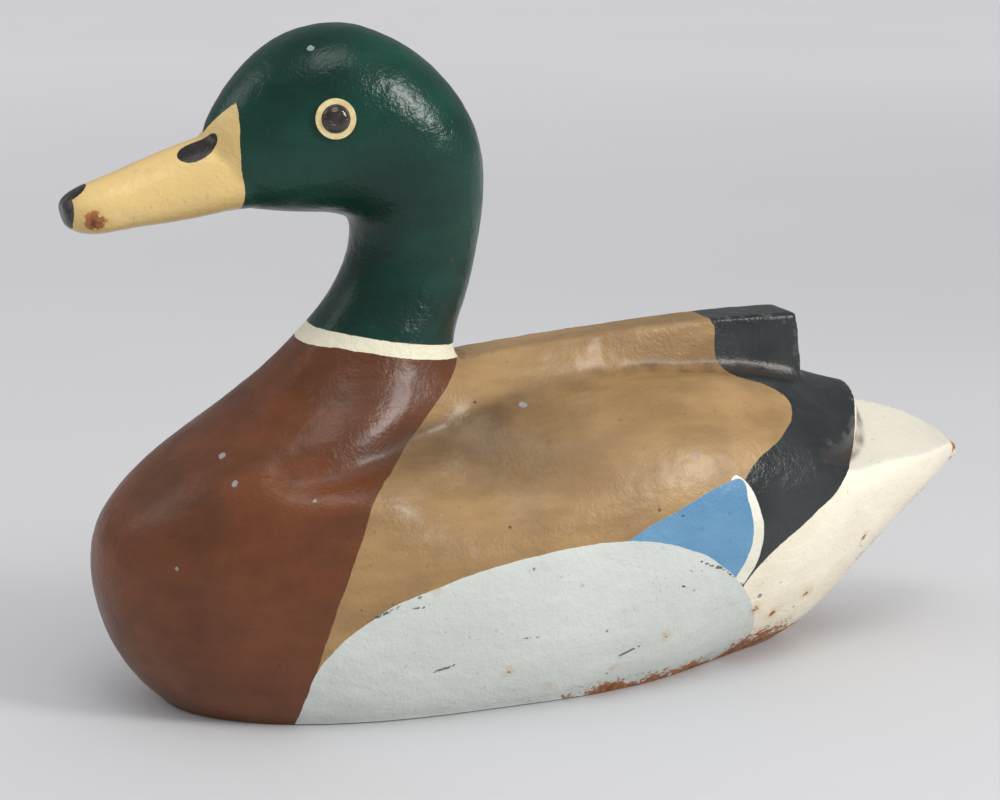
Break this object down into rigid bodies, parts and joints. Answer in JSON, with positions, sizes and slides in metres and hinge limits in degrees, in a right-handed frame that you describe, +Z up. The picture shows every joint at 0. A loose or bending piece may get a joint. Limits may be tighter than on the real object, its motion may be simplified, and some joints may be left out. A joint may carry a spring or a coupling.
{
  "type": "floating duck decoy",
  "caption": "Hollow floating drake decoy: painted half shells over a flat base pan, with ballast, drain plug, domed eyes and a recessed line ring.",
  "frame": {"origin": "bottom centre of the whole bird, on its flat underside", "axes": "+Z up; the bill points to -X and the tail to +X; the bird's left side is at -Y"},
  "size_m": [0.356, 0.1362, 0.2411],
  "materials": {
    "shell_enamel": "thick brushed gloss enamel in drake colours over pebbled sheet, chipped, with rust bleeding along the lower edge",
    "pan_enamel": "pale grey-green enamel, scuffed, with rust at the rim",
    "bare_steel": "plain sheet with light surface rust",
    "zinc_steel": "dull zinc plating",
    "ballast_iron": "rough as cast",
    "drain_brass": "tarnished",
    "gasket_rubber": "smooth",
    "eye_ring_enamel": "cream enamel, slightly yellowed",
    "eye_black": "gloss black, scuffed"
  },
  "bodies": {
    "decoy": {"left_half_shell": "shell_enamel", "right_half_shell": "shell_enamel", "seam_strap_crown": "bare_steel", "seam_strap_throat": "bare_steel", "seam_strap_bill": "bare_steel", "seam_strap_breast": "bare_steel", "seam_strap_back": "bare_steel", "base_pan": "pan_enamel", "line_cup": "pan_enamel", "line_saddle": "zinc_steel", "ballast_bar": "ballast_iron", "ballast_studs": "zinc_steel", "ballast_washers": "zinc_steel", "ballast_nuts": "zinc_steel", "drain_boss": "drain_brass", "drain_plug": "drain_brass", "drain_gasket": "gasket_rubber", "eye_ring_left": "eye_ring_enamel", "eye_ring_right": "eye_ring_enamel", "eye_dome_left": "eye_black", "eye_dome_right": "eye_black", "eye_clip_left": "bare_steel", "eye_clip_right": "bare_steel"},
    "line_ring": {"line_ring": "zinc_steel"}
  },
  "joints": [
    {"name": "line_ring_hinge", "type": "hinge", "parent": "decoy", "child": "line_ring", "pos_m": [-0.112, 0, 0.0042], "axis": [0, 1, 0], "range_deg": [0, 100]}
  ]
}
